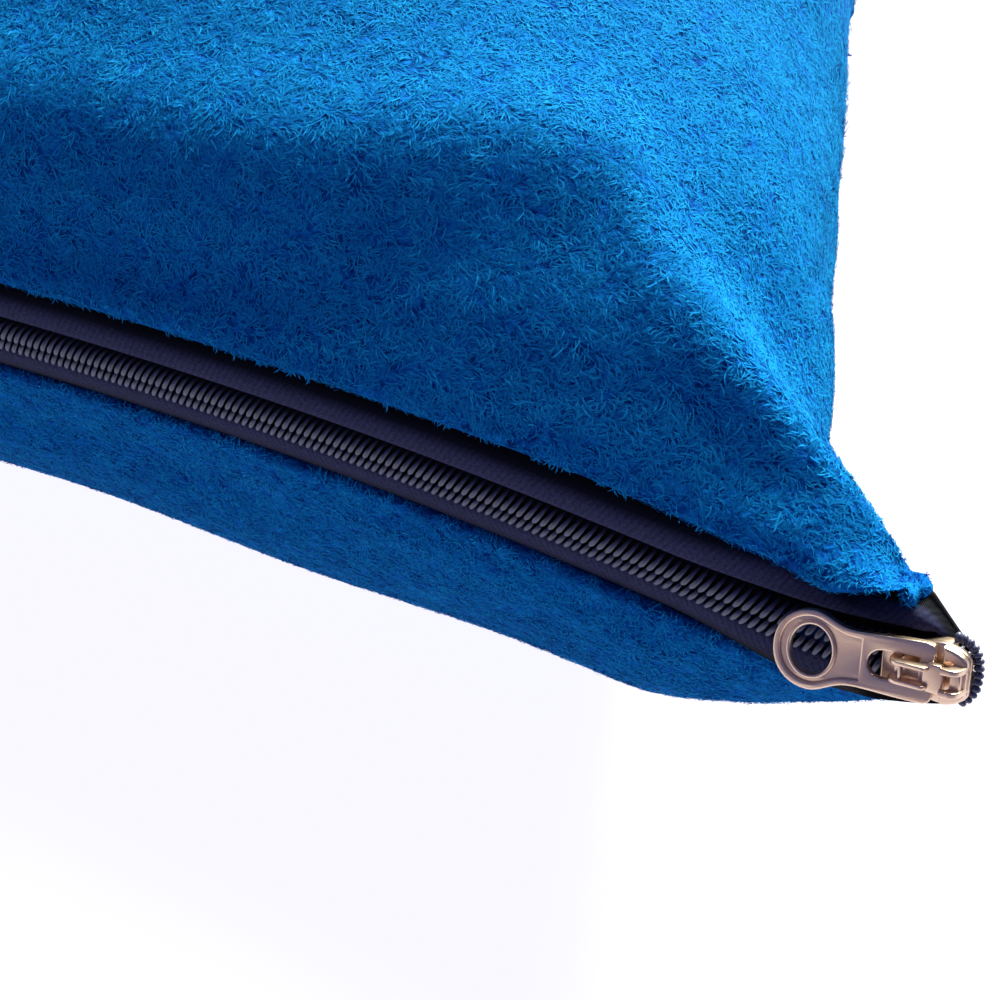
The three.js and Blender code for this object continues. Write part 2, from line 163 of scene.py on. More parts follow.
def downEdge(x):
    return zipStrip["down"] * (1 - zipStrip["downLoss"] * np.exp(-fromCorner(x) / zipStrip["downReach"]))


def bend(w):
    return -(w**2) / (2 * zipStrip["curve"])


def spreadAt(x):
    start = form["length"] / 2 - zipStrip["spreadStart"]
    return zipStrip["spread"] * smooth((x - start) / zipStrip["spreadRun"])


def floorDepth(x):
    start = form["length"] / 2 - zipStrip["pocketStart"]
    nearSlider = smooth((x - start) / zipStrip["pocketRun"])
    return -zipStrip["depth"] - zipStrip["pocket"] * nearSlider


def awayFromZip(points, w):
    return np.where(points[:, 1] < frontUpTo, np.abs(w), 200)


def addObject(name, mesh):
    piece = bpy.data.objects.new(name, mesh)
    bpy.context.scene.collection.objects.link(piece)
    return piece


def shadeSmooth(mesh):
    mesh.polygons.foreach_set("use_smooth", [True] * len(mesh.polygons))


def meshPiece(name, points, faces, material):
    mesh = bpy.data.meshes.new(name)
    mesh.from_pydata(np.asarray(points).tolist(), [], [list(map(int, face)) for face in faces])
    mesh.validate()
    shadeSmooth(mesh)
    if material:
        mesh.materials.append(material)
    return addObject(name, mesh)


def faceOutwards(piece, merge=True):
    work = bmesh.new()
    work.from_mesh(piece.data)
    if merge:
        bmesh.ops.remove_doubles(work, verts=work.verts, dist=1e-7)
    bmesh.ops.recalc_face_normals(work, faces=work.faces)
    if work.calc_volume(signed=True) < 0:
        bmesh.ops.reverse_faces(work, faces=work.faces)
    work.to_mesh(piece.data)
    work.free()


def vertexPlaces(mesh):
    places = np.empty(len(mesh.vertices) * 3)
    mesh.vertices.foreach_get("co", places)
    return places.reshape(-1, 3)


def plainMesh(piece, name):
    graph = bpy.context.evaluated_depsgraph_get()
    mesh = bpy.data.meshes.new_from_object(piece.evaluated_get(graph))
    mesh.name = name
    return mesh


# One wrapped socket, so that the maths of a node tree reads as an expression
class Link:
    def __init__(self, graph, socket):
        self.graph = graph
        self.socket = socket

    def maths(self, operation, *values):
        return self.graph.node("ShaderNodeMath", {"operation": operation}, values)

    def __add__(self, other): return self.maths("ADD", self, other)
    def __radd__(self, other): return self.maths("ADD", other, self)
    def __sub__(self, other): return self.maths("SUBTRACT", self, other)
    def __rsub__(self, other): return self.maths("SUBTRACT", other, self)
    def __mul__(self, other): return self.maths("MULTIPLY", self, other)
    def __rmul__(self, other): return self.maths("MULTIPLY", other, self)
    def __pow__(self, other): return self.maths("POWER", self, other)
    def __gt__(self, other): return self.maths("GREATER_THAN", self, other)

    def sine(self): return self.maths("SINE", self)
    def between(self, low, high): return self.maths("MINIMUM", self.maths("MAXIMUM", self, low), high)


class Graph:
    def __init__(self, tree):
        self.tree = tree

    def join(self, value, socket):
        if isinstance(value, Link):
            self.tree.links.new(value.socket, socket)
        else:
            socket.default_value = value

    def node(self, kind, settings=None, values=(), output=0):
        made = self.tree.nodes.new(kind)
        for key, value in (settings or {}).items():
            if key == "stops":
                ramp = made.color_ramp
                while len(ramp.elements) < len(value):
                    ramp.elements.new(0.5)
                for element, (place, colour) in zip(ramp.elements, value):
                    element.position = place
                    element.color = (*colour, 1)
            else:
                setattr(made, key, value)
        pairs = values.items() if isinstance(values, dict) else enumerate(values)
        for key, value in pairs:
            self.join(value, made.inputs[key])
        return Link(self, made.outputs[output])

    def noise(self, vector, scale, detail=3.0, rough=0.5, distortion=0.0, output=0):
        values = {"Vector": vector, "Scale": scale, "Detail": detail, "Roughness": rough,
                  "Distortion": distortion}
        return self.node("ShaderNodeTexNoise", {}, values, output)


class Finish(Graph):
    def __init__(self, name):
        self.material = bpy.data.materials.new(name)
        self.material.use_nodes = True
        super().__init__(self.material.node_tree)
        self.shader = self.tree.nodes["Principled BSDF"]

    def set(self, **values):
        for key, value in values.items():
            self.join(value, self.shader.inputs[key.replace("_", " ")])

    def place(self, scale=(1, 1, 1), turn=(0, 0, 0)):
        coordinates = self.node("ShaderNodeTexCoord", output="Object")
        return self.node("ShaderNodeMapping", {}, {"Vector": coordinates, "Rotation": turn, "Scale": scale})

    def ramp(self, value, stops):
        return self.node("ShaderNodeValToRGB", {"stops": stops}, {"Fac": value})

    def mix(self, amount, one, two):
        return self.node("ShaderNodeMix", {"data_type": "RGBA"}, {0: amount, 6: one, 7: two}, 2)

    def bump(self, height, strength, distance, under=None):
        values = {"Height": height, "Strength": strength, "Distance": distance}
        if under:
            values["Normal"] = under
        return self.node("ShaderNodeBump", {}, values)


# Looks of the fleece: the skin under the fibres is painted darker blue, as painted shade of the pile's
# hollows between the tufts, and the brushed fibres are brighter
fleeceLook = dict(
    pitShade=(0.001, 0.025, 0.17), ground=(0.002, 0.096, 0.39), fibreDark=(0.002, 0.108, 0.39),
    fibre=(0.0035, 0.174, 0.475), fibreLight=(0.008, 0.235, 0.545), sheen=0.1,
    sheenTint=(0.02, 0.65, 0.9, 1), swirlScale=260, swirlBy=(0.005, 0.005, 0.005),
    streakScale=900, tuftScale=420, patchScale=60,
)


def fleeceFinish():
    look = fleeceLook
    finish = Finish("fleece")
    spot = finish.place()
    swirl = finish.noise(spot, look["swirlScale"], 1.0, 0.5, output="Color")
    bent = finish.node("ShaderNodeVectorMath", {"operation": "MULTIPLY_ADD"},
                       [swirl, look["swirlBy"], spot])
    streaks = finish.noise(bent, look["streakScale"], 3.0, 0.6, 0.6)
    tufts = finish.noise(spot, look["tuftScale"], 2.0, 0.55, 0.4)
    patches = finish.noise(spot, look["patchScale"], 2.0, 0.5)
    tone = streaks * 0.45 + tufts * 0.4 + patches * 0.15
    # Painted shade: the pit and ground tones darken the skin between the fibres, placed by random streaks,
    # tufts and patches, which also give the fleece its random tone
    colour = finish.ramp(tone, [(0.4, look["pitShade"]), (0.52, look["ground"]), (0.66, look["fibre"])])
    coarse = finish.bump(tufts, 0.7, 0.0016)
    fine = finish.bump(streaks, 0.8, 0.0008, coarse)
    finish.set(Base_Color=colour, Roughness=0.95, Normal=fine, Sheen_Weight=look["sheen"],
               Sheen_Roughness=0.5, Sheen_Tint=look["sheenTint"], Specular_IOR_Level=0.02)
    return finish.material


def pileFinish():
    look = fleeceLook
    finish = Finish("fleecePile")
    tint = finish.node("ShaderNodeAttribute", {"attribute_name": "tint"}, output="Fac")
    colour = finish.ramp(tint, [(0.0, look["fibreDark"]), (0.55, look["fibre"]), (1.0, look["fibreLight"])])
    finish.set(Base_Color=colour, Roughness=0.9, Sheen_Weight=look["sheen"], Sheen_Roughness=0.5,
               Sheen_Tint=look["sheenTint"], Specular_IOR_Level=0.02)
    return finish.material


# Looks of the zip: dark woven tape with painted shade that turns it near black low in its trough, below the
# fleece's edge and at its end, blue-black nylon and warm pale metal
tapeLook = dict(
    deep=(0.0015, 0.0015, 0.004), dark=(0.010, 0.011, 0.036), light=(0.038, 0.040, 0.1),
    rib=1.0 * mm, thread=0.3 * mm, wanderScale=500, wanderBy=0.0004, fleckScale=2600,
)
coilLook = dict(dark=(0.03, 0.032, 0.07), light=(0.065, 0.07, 0.13), wearScale=900)
metalLook = dict(dark=(0.72, 0.52, 0.385), light=(0.85, 0.64, 0.48), grainScale=900, cloudScale=160)


def tapeFinish():
    look = tapeLook
    finish = Finish("zipTape")
    where = finish.node("ShaderNodeUVMap", {"uv_map": "weave"})
    along = finish.node("ShaderNodeSeparateXYZ", {}, [where], "X")
    across = finish.node("ShaderNodeSeparateXYZ", {}, [where], "Y")
    spot = finish.place()
    wander = finish.noise(spot, look["wanderScale"], 2.0, 0.6)
    slanted = along + across * 0.5 + wander * look["wanderBy"]
    ribs = (slanted * (2 * math.pi / look["rib"])).sine() * 0.5 + 0.5
    threads = ((along - across * 0.8) * (2 * math.pi / look["thread"])).sine() * 0.5 + 0.5
    flecks = finish.noise(spot, look["fleckScale"], 2.0, 0.7)
    shade = ribs * 0.12 + threads * 0.13 + flecks * 0.9
    colour = finish.ramp(shade, [(0.35, look["dark"]), (0.8, look["light"])])
    # Painted shade: the tape's colour is mixed towards near black by the painted shade attribute
    deep = finish.node("ShaderNodeAttribute", {"attribute_name": "deep"}, output="Fac")
    bump = finish.bump(ribs * 0.25 + threads * 0.3 + flecks * 0.7, 0.6, 0.0002)
    finish.set(Base_Color=finish.mix(deep, colour, (*look["deep"], 1)), Roughness=0.7, Normal=bump,
               Specular_IOR_Level=0.06)
    return finish.material


def coilFinish():
    finish = Finish("zipCoil")
    spot = finish.place()
    wear = finish.noise(spot, coilLook["wearScale"], 2.0, 0.5)
    colour = finish.ramp(wear, [(0.3, coilLook["dark"]), (0.7, coilLook["light"])])
    finish.set(Base_Color=colour, Roughness=wear * 0.2 + 0.28, Specular_IOR_Level=0.55,
               Normal=finish.bump(wear, 0.15, 0.0001))
    return finish.material


def metalFinish():
    finish = Finish("zipMetal")
    spot = finish.place()
    grain = finish.noise(finish.place((1, 6, 6)), metalLook["grainScale"], 3.0, 0.6)
    cloud = finish.noise(spot, metalLook["cloudScale"], 2.0, 0.5)
    colour = finish.ramp(cloud, [(0.3, metalLook["dark"]), (0.7, metalLook["light"])])
    finish.set(Base_Color=colour, Metallic=1.0, Roughness=grain * 0.14 + 0.24,
               Normal=finish.bump(grain, 0.12, 0.0001))
    return finish.material


# A soft key from behind, a sky that is warm at the horizon and blue above, and a pale floor with a glow
# of its own
light = dict(
    toward=(0.13, 0.79, 0.59), strength=14.3, tint=(0.98, 1.03, 0.86), spread=math.radians(38),
    horizon=(0.58, 0.46, 0.43), low=(0.125, 0.135, 0.33), sky=(0.085, 0.105, 0.28),
    glow=(0.94, 0.93, 1.08, 1), floorDark=(0.07, 0.07, 0.07), floorPale=(0.08, 0.08, 0.08),
)


def floorFinish():
    finish = Finish("floor")
    spot = finish.place()
    tone = finish.noise(spot, 3.0, 2.0, 0.5)
    colour = finish.ramp(tone, [(0.3, light["floorDark"]), (0.7, light["floorPale"])])
    finish.set(Base_Color=colour, Roughness=0.7, Emission_Color=light["glow"], Emission_Strength=1.0)
    return finish.material


# The fleece: one closed skin, woven from columns that run from the zip's upper lip over the crown, round
# the back and under to the zip's lower lip, where it turns in to line the zip's trough
fleeceGrid = dict(
    columns=260, rows=104, fine=1500, floorRows=9, rollSteps=6, rollTurn=math.radians(125),
    near=(0.35, 0.7, 1.1, 1.6, 2.2, 3, 4, 5.2, 6.6, 8.2, 10, 12, 14.3, 17), lipRadius=1.3, tipRadius=0.15,
    overhang=1.7, puff=0.9, puffReach=4.5, inset=0.8, seamGroove=1.2, seamReach=1.4, undulation=0.9,
)


def lipRadiusAt(x):
    least = fleeceGrid["tipRadius"]
    return least + (fleeceGrid["lipRadius"] - least) * smooth((fromCorner(x) - 2) / 6)


def overhangAt(x):
    return fleeceGrid["overhang"] * smooth((fromCorner(x) - 5) / 10)


def clampTip(points):
    x, w, n = zipPlace(points)
    most = np.where(fromCorner(x) < 6, upEdge(x) - 0.25, 1e3)
    lower = np.minimum(w, most)
    near = (fromCorner(x) < 8) & (points[..., 1] < form["setBack"] - form["width"] / 2 + 40)
    moved = onZip(x, lower, n)
    return np.where(near[..., None], moved, points)


def panelRows(u, upper):
    g = fleeceGrid
    t = np.linspace(-1, 1, g["fine"])
    v = np.sign(t) * (1 - (1 - np.abs(t)) ** 2.2)
    lines = fleecePoints(u[:, None], v[None, :], upper)
    front = v < 0.2
    lines[:, front] = clampTip(lines[:, front])
    x, w, n = zipPlace(lines[:, front])
    reach = w if upper else -w
    limit = (upEdge(x) - overhangAt(x) if upper else downEdge(x)) + lipRadiusAt(x)
    beyond = (reach >= limit) | (n < bend(w) - zipStrip["depth"])
    rows = np.zeros((len(u), g["rows"] + 1, 3))
    near = np.array([0, *g["near"]])
    k = np.arange(1, g["rows"] - len(g["near"]) + 1) / (g["rows"] - len(g["near"]))
    eased = k * 0.55 + 0.45 * (1 - (1 - k) ** 1.9)
    for i in range(len(u)):
        first = int(np.argmax(beyond[i]))
        line = lines[i]
        if first > 0:
            before, after = reach[i, first - 1], reach[i, first]
            share = np.clip((limit[i, first] - before) / max(after - before, 1e-6), 0, 1)
            start = line[first - 1] + (line[first] - line[first - 1]) * share
            line = np.vstack([start, line[first:]])
        run = np.concatenate([[0], np.cumsum(np.linalg.norm(np.diff(line, axis=0), axis=1))])
        targets = np.concatenate([near, near[-1] + (run[-1] - near[-1]) * eased])
        for axis in range(3):
            rows[i, :, axis] = np.interp(targets, run, line[:, axis])
        if upper:
            fromTip = smooth((fromCorner(line[0, 0]) - 8) / 14)
            puffed = g["puff"] * np.exp(-((targets / g["puffReach"]) ** 2)) * fromTip
            rows[i] += zipFrame(line[:1, 0])[3] * puffed[:, None]
    return rows


def lipRoll(rows):
    steps = fleeceGrid["rollSteps"]
    start = rows[:, 0]
    away = unit(rows[:, 2] - start + 1e-9)
    x, w, n = zipPlace(start)
    at, along, across, out = zipFrame(x)
    normal = unit(out - away * np.sum(out * away, -1, keepdims=True))
    radius = lipRadiusAt(x)[:, None]
    centre = start - normal * radius
    roll = []
    for k in range(1, steps + 1):
        angle = fleeceGrid["rollTurn"] * k / steps
        roll.append(centre + radius * (normal * math.cos(angle) - away * math.sin(angle)))
    return np.stack(roll, 1), x


def wavy(points, seed, size, count=14):
    luck = np.random.default_rng(seed)
    total = np.zeros(len(points))
    for k in range(count):
        direction = luck.normal(size=3)
        direction /= np.linalg.norm(direction)
        wave = 2 * math.pi / (size * luck.uniform(0.7, 1.5))
        total += np.sin(points @ direction * wave + luck.uniform(0, 6.28))
    return total / math.sqrt(count / 2)


def fleeceSkin():
    g = fleeceGrid
    t = np.linspace(-1, 1, g["columns"] + 1)
    u = np.sign(t) * (1 - (1 - np.abs(t)) ** 1.8)
    upper = panelRows(u, True)
    lower = panelRows(u, False)
    upperRoll, upperX = lipRoll(upper)
    lowerRoll, lowerX = lipRoll(lower)
    floor = []
    for share in np.arange(g["floorRows"]) / (g["floorRows"] - 1):
        x = upperX * (1 - share) + lowerX * share
        w = (upEdge(x) + 0.05) * (1 - share) - (downEdge(x) + 0.05) * share
        floor.append(onZip(x, w, floorDepth(x) + bend(w)))
    floor = np.stack(floor, 1)
    loops = np.concatenate([upper, lower[:, ::-1], lowerRoll, floor[:, ::-1], upperRoll[:, ::-1]], 1)
    count = loops.shape[1]
    points = loops.reshape(-1, 3)
    faces = []
    for i in range(g["columns"]):
        base = i * count
        for k in range(count):
            after = (k + 1) % count
            faces.append((base + k, base + count + k, base + count + after, base + after))
    half = g["rows"] + 1
    rolls = upperRoll.shape[1]
    for i in (0, g["columns"]):
        base = i * count
        for k in range(half - 1):
            faces.append((base + k, base + k + 1, base + 2 * half - 2 - k, base + 2 * half - 1 - k))
        inner = [base + 2 * half + k for k in range(rolls * 2 + g["floorRows"])]
        faces.append([base, base + 2 * half - 1, *inner])
    return points, faces, count, half


# The cloth settles on its filling: a coarse copy of the skin is blown up as cloth, and what it moves by
# goes to the fine skin. Its zip edges stay pinned, and the side that shows in the picture moves least
settling = dict(
    columnStep=3, rowStep=3, pressure=4.0, frames=20, cap=6.0, stiffness=80.0, bending=0.6,
    closeShare=0.35, pinMargin=3, pinDepth=-9,
)


def settledBy(points, count, half):
    s = settling
    grid = points.reshape(-1, count, 3)
    columns = np.unique(np.append(np.arange(0, len(grid), s["columnStep"]), len(grid) - 1))
    outside, inside = np.arange(0, 2 * half, s["rowStep"]), np.arange(2 * half, count, s["rowStep"])
    rows = np.unique(np.concatenate([outside, [half - 1, half, 2 * half - 1], inside]))
    coarse = grid[np.ix_(columns, rows)]
    wide, long = coarse.shape[:2]
    faces = [(i * long + k, (i + 1) * long + k, (i + 1) * long + (k + 1) % long, i * long + (k + 1) % long)
             for i in range(wide - 1) for k in range(long)]
    faces.append(list(range(long)))
    faces.append([(wide - 1) * long + k for k in range(long)][::-1])
    piece = meshPiece("settling", coarse.reshape(-1, 3) * mm, faces, None)
    flat = coarse.reshape(-1, 3)
    x, w, n = zipPlace(flat)
    margin = s["pinMargin"]
    byEdges = (w < upEdge(x) + margin) & (w > -downEdge(x) - margin) & (n > s["pinDepth"])
    held = (flat[:, 1] < frontUpTo) & byEdges
    pins = piece.vertex_groups.new(name="pins")
    pins.add([int(k) for k in np.where(held)[0]], 1.0, "REPLACE")
    cloth = piece.modifiers.new("cloth", "CLOTH")
    cloth.point_cache.frame_start, cloth.point_cache.frame_end = 1, s["frames"]
    values = cloth.settings
    values.quality = 5
    values.tension_stiffness = values.compression_stiffness = values.shear_stiffness = s["stiffness"]
    values.bending_stiffness = s["bending"]
    values.use_pressure = True
    values.uniform_pressure_force = s["pressure"]
    values.effector_weights.gravity = 0
    values.vertex_group_mass = "pins"
    for step in range(1, s["frames"] + 1):
        bpy.context.scene.frame_set(step)
    moved = vertexPlaces(plainMesh(piece, "settled")) / mm - flat
    bpy.data.objects.remove(piece)
    bpy.context.scene.frame_set(1)
    size = np.linalg.norm(moved, axis=1, keepdims=True)
    moved = (moved * np.minimum(1, s["cap"] / np.maximum(size, 1e-6))).reshape(wide, long, 3)
    print("settled by up to", round(float(size.max()), 1), "mm, mean", round(float(size.mean()), 2))
    fine = np.zeros_like(grid)
    for axis in range(3):
        part = np.array([np.interp(np.arange(count), rows, moved[i, :, axis]) for i in range(wide)])
        across = [np.interp(np.arange(len(grid)), columns, part[:, k]) for k in range(count)]
        fine[:, :, axis] = np.array(across).T
    fine = fine.reshape(-1, 3)
    x, w, n = zipPlace(points)
    byZip = awayFromZip(points, w)
    close = smooth((points[:, 0] - 20) / 40) * smooth((100 - points[:, 1]) / 60)
    share = (1 - (1 - s["closeShare"]) * close) * smooth((byZip - 13) / 12) * smooth((points[:, 2] - 2) / 10)
    return fine * share[:, None]


print("fleece skin")
fleeceMaterial = fleeceFinish()
skinPoints, skinFaces, loopCount, halfCount = fleeceSkin()
skinPoints = skinPoints + settledBy(skinPoints, loopCount, halfCount)
pillow = meshPiece("pillowFleece", skinPoints * mm, skinFaces, fleeceMaterial)
faceOutwards(pillow)
print("fleece points", len(pillow.data.vertices), "faces", len(pillow.data.polygons))


# The shoulders along the front and the back stay fuller than the crown, and drop off more steeply
shoulderForm = dict(height=2.6, line=123, nearCorner=11, width=10, hollow=0.9, ahead=15, hollowWidth=6)

# How far the sides pull in beyond the plain curve, by distance from the front or the back corners
sideTrim = dict(
    at=(0, 9, 12, 15, 20, 29, 35, 42, 61, 85, 115, 141, 165),
    by=(1.8, 2.9, 1.4, -1.8, -1.3, 0.1, 0.5, 0.6, 0.0, -1.9, -2.3, -1.0, 0.6),
    waist=5.8, waistAt=42, waistReach=28, start=95, run=55,
)

# The lower front is fuller towards the corner
lowSwell = dict(by=1.9, start=70, rise=50, end=148, fall=24, below=9, reach=8)


def shoulderAt(points):
    s = shoulderForm
    fromMiddle = np.abs(points[:, 1] - form["setBack"])
    line = s["line"] - s["nearCorner"] * smooth((np.abs(points[:, 0]) - 85) / 45)
    rise = s["height"] * np.exp(-(((fromMiddle - line) / s["width"]) ** 2))
    return rise - s["hollow"] * np.exp(-(((fromMiddle - line - s["ahead"]) / s["hollowWidth"]) ** 2))


# Small rises and dips of a soft filling under the cloth, the groove of the sewn edge at the sides and the
# back, the shoulders, the trimmed sides and the fuller lower front
def settleFleece(piece):
    g, low, trim = fleeceGrid, lowSwell, sideTrim
    mesh = piece.data
    points = vertexPlaces(mesh) / mm
    normals = np.empty(points.size)
    mesh.vertex_normals.foreach_get("vector", normals)
    normals = normals.reshape(-1, 3)
    x, w, n = zipPlace(points)
    byZip = awayFromZip(points, w)
    aside = np.abs(points[:, 0])
    fromEndX = form["length"] / 2 - aside
    fromEndY = form["width"] / 2 - np.abs(points[:, 1] - form["setBack"])
    fromTip = np.hypot(fromEndX, fromEndY)
    nearTip = 1 - smooth((fromCorner(points[:, 0]) - 12) / 10)

    calm = smooth((byZip - 12) / 20) * smooth(points[:, 2] / 8)
    waves = wavy(points, 5, 85) * 0.9 + wavy(points, 6, 38) * 0.35
    moved = points + normals * (g["undulation"] * waves * calm)[:, None]

    seamZ = form["equator"] + form["earLift"] * np.exp(-fromTip / form["earReach"])
    outer = np.abs(normals[:, 2]) < 0.9
    seam = np.exp(-(((points[:, 2] - seamZ) / g["seamReach"]) ** 2)) * outer
    seam = seam * smooth((points[:, 1] + 140) / 20)
    puckers = 1 + 0.5 * wavy(points, 9, 14)
    moved -= normals * (g["seamGroove"] * seam * puckers)[:, None]

    onTop = smooth(normals[:, 2] * 3) * smooth((form["length"] / 2 - 42 - aside) / 22)
    moved += normals * (shoulderAt(points) * onTop * smooth((byZip - 10) / 6))[:, None]
    inset = g["inset"] * smooth((byZip - 12 + 8 * nearTip) / 8) * (1 + nearTip)
    moved -= normals * inset[:, None]

    waist = trim["waist"] * np.exp(-(((points[:, 1] - trim["waistAt"]) / trim["waistReach"]) ** 2))
    pulled = np.interp(fromEndY, trim["at"], trim["by"]) + waist
    moved[:, 0] -= np.sign(points[:, 0]) * (pulled * smooth((aside - trim["start"]) / trim["run"]))

    fuller = smooth((aside - low["start"]) / low["rise"]) * (1 - smooth((aside - low["end"]) / low["fall"]))
    fuller = fuller * smooth((-w - low["below"]) / low["reach"]) * (points[:, 1] < frontUpTo)
    moved += normals * (low["by"] * fuller)[:, None]
    moved[:, 2] = np.maximum(moved[:, 2], 0)
    mesh.vertices.foreach_set("co", (moved * mm).ravel())
    mesh.update()


settleFleece(pillow)


# Short pile of the brushed face: small curled fibres that lie almost flat in swirling tufts, finer and
# thicker where the camera comes close
pile = dict(
    closeDensity=6.4e6, farDensity=0.3e6, closeTo=(110, -118, 60), closeStretch=(0.86, 1, 1),
    closeReach=78, closeFade=34, length=2.3, width=0.19, lift=0.14, farLength=1.5, farWidth=1.9,
    swirlScale=170.0, swirlTurns=14.0, clumpScale=800.0, patchScale=330.0, seed=11,
    curls=(1.2, -1.5, 0.5, -0.8), tip=(190, -163),
    steps=((0, 0, -0.25), (0.3, 0.5, 0.6), (0.5, -0.5, 1.0), (0.75, 0.45, 1.0), (1, 0, 0.6)),
)


def pileFibre(curl):
    long, wide, lift = pile["length"] * mm, pile["width"] * mm, pile["lift"] * mm
    points = []
    for share, side, high in pile["steps"]:
        angle = curl * share
        x = long * (math.sin(angle) / curl) - side * wide * math.sin(angle)
        y = long * (1 - math.cos(angle)) / curl + side * wide * math.cos(angle)
        points.append((x, y, high * lift))
    return meshPiece("pileFibre", points, [(0, 2, 1), (1, 2, 3), (2, 4, 3)], None)


def pileWeights(piece):
    mesh = piece.data
    points = vertexPlaces(mesh) / mm
    x, w, n = zipPlace(points)
    onFront = points[:, 1] < frontUpTo
    betweenLips = (w < upEdge(x) - 0.3) & (w > -downEdge(x) + 0.3)
    inTrough = betweenLips & (n > -9) & (n < -0.9 + bend(w)) & onFront
    away = np.linalg.norm((points - np.array(pile["closeTo"])) * pile["closeStretch"], axis=1)
    close = 1 - smooth((away - pile["closeReach"]) / pile["closeFade"])
    density = pile["farDensity"] + (pile["closeDensity"] - pile["farDensity"]) * close
    density = np.where(inTrough, 0, density) * smooth((points[:, 2] - 1.2) / 3)
    byLip = np.where(onFront, w - upEdge(x), 50)
    byTip = np.hypot(pile["tip"][0] - points[:, 0], points[:, 1] - pile["tip"][1])
    short = (0.45 + 0.55 * smooth((byTip - 12) / 20)) * (0.6 + 0.4 * smooth((byLip + 1) / 4))
    for name, values in (("pileDensity", density), ("pileClose", close), ("pileLength", short)):
        attribute = mesh.attributes.new(name, "FLOAT", "POINT")
        attribute.data.foreach_set("value", values.astype(np.float32))


# The parts that both node trees share: their sockets, the object that they repeat and their end
def treeWith(name, **kinds):
    tree = bpy.data.node_groups.new(name, "GeometryNodeTree")
    for label, kind in {"Geometry": "Geometry", **kinds}.items():
        tree.interface.new_socket(label, in_out="INPUT", socket_type="NodeSocket" + kind)
    tree.interface.new_socket("Geometry", in_out="OUTPUT", socket_type="NodeSocketGeometry")
    graph = Graph(tree)
    given = tree.nodes.new("NodeGroupInput")
    return graph, {socket.name: Link(graph, socket) for socket in given.outputs}


def shapeOf(graph, given):
    info = graph.node("GeometryNodeObjectInfo", {}, {"Object": given})
    return Link(graph, info.socket.node.outputs["Geometry"])


def closedTree(graph, instances, material):
    real = graph.node("GeometryNodeRealizeInstances", {}, [instances])
    painted = graph.node("GeometryNodeSetMaterial", {}, {"Geometry": real, "Material": material})
    graph.join(painted, graph.tree.nodes.new("NodeGroupOutput").inputs[0])
    return graph.tree


def pileTree():
    graph, start = treeWith("pileTree", Fibre="Object", Material="Material", Share="Float", Seed="Int")

    def luck(low, high, seed):
        return graph.node("FunctionNodeRandomValue", {"data_type": "FLOAT"}, {2: low, 3: high, 8: seed}, 1)

    def named(name):
        return graph.node("GeometryNodeInputNamedAttribute", {"data_type": "FLOAT"}, {0: name})

    spot = graph.node("GeometryNodeInputPosition")
    density = named("pileDensity") * start["Share"]
    scatter = graph.node(
        "GeometryNodeDistributePointsOnFaces", {"distribute_method": "RANDOM", "use_legacy_normal": False},
        {"Mesh": start["Geometry"], "Density": density, "Seed": start["Seed"]})
    surface = Link(graph, scatter.socket.node.outputs["Rotation"])
    clump = graph.noise(spot, pile["clumpScale"], 1.0)
    kept = (clump - 0.47) * 5 + 0.75 > luck(0, 1, 8)
    swirl = graph.noise(spot, pile["swirlScale"], 2.0)
    raised = luck(0, 1, 2) ** 5 * -0.25 + 0.01
    heading = swirl * pile["swirlTurns"] + luck(-0.9, 0.9, 3)
    turn = graph.node("ShaderNodeCombineXYZ", {}, [luck(-0.1, 0.1, 1), raised, heading])
    euler = graph.node("FunctionNodeEulerToRotation", {}, [turn])
    rotation = graph.node("FunctionNodeRotateRotation", {"rotation_space": "LOCAL"}, [surface, euler])
    far = 1 - named("pileClose")
    long = luck(0.55, 1.25, 4) * named("pileLength") * (far * (pile["farLength"] - 1) + 1)
    wide = luck(0.7, 1.3, 5) * (far * (pile["farWidth"] - 1) + 1)
    size = graph.node("ShaderNodeCombineXYZ", {}, [long, wide, luck(0.3, 1.5, 6)])
    placed = graph.node("GeometryNodeInstanceOnPoints", {}, {
        "Points": scatter, "Selection": kept, "Instance": shapeOf(graph, start["Fibre"]),
        "Rotation": rotation, "Scale": size})
    patches = graph.noise(spot, pile["patchScale"], 2.0)
    tint = (luck(0, 1, 7) * 0.3 + (patches - 0.5) * 1.5 + 0.36).between(0.0, 1.0)
    tinted = graph.node("GeometryNodeStoreNamedAttribute", {"data_type": "FLOAT", "domain": "INSTANCE"},
                        {"Geometry": placed, "Name": "tint", "Value": tint})
    return closedTree(graph, tinted, start["Material"])


def grownBy(host, tree, name, **inputs):
    modifier = host.modifiers.new("grow", "NODES")
    modifier.node_group = tree
    names = {item.name: item.identifier for item in tree.interface.items_tree if item.in_out == "INPUT"}
    for key, value in inputs.items():
        modifier[names[key]] = value
    piece = addObject(name, plainMesh(host, name))
    bpy.data.objects.remove(host)
    print(name, "faces", len(piece.data.polygons))
    return piece


def growPile(piece):
    pileWeights(piece)
    tree, material = pileTree(), pileFinish()
    grown = []
    for k, curl in enumerate(pile["curls"]):
        host = addObject("pileHost", piece.data.copy())
        fibre = pileFibre(curl)
        grown.append(grownBy(host, tree, f"pillowPile{k + 1}", Fibre=fibre, Material=material,
                             Share=1 / len(pile["curls"]), Seed=pile["seed"] + k))
        bpy.data.objects.remove(fibre)
    return grown


print("pile")
pilePieces = growPile(pillow)


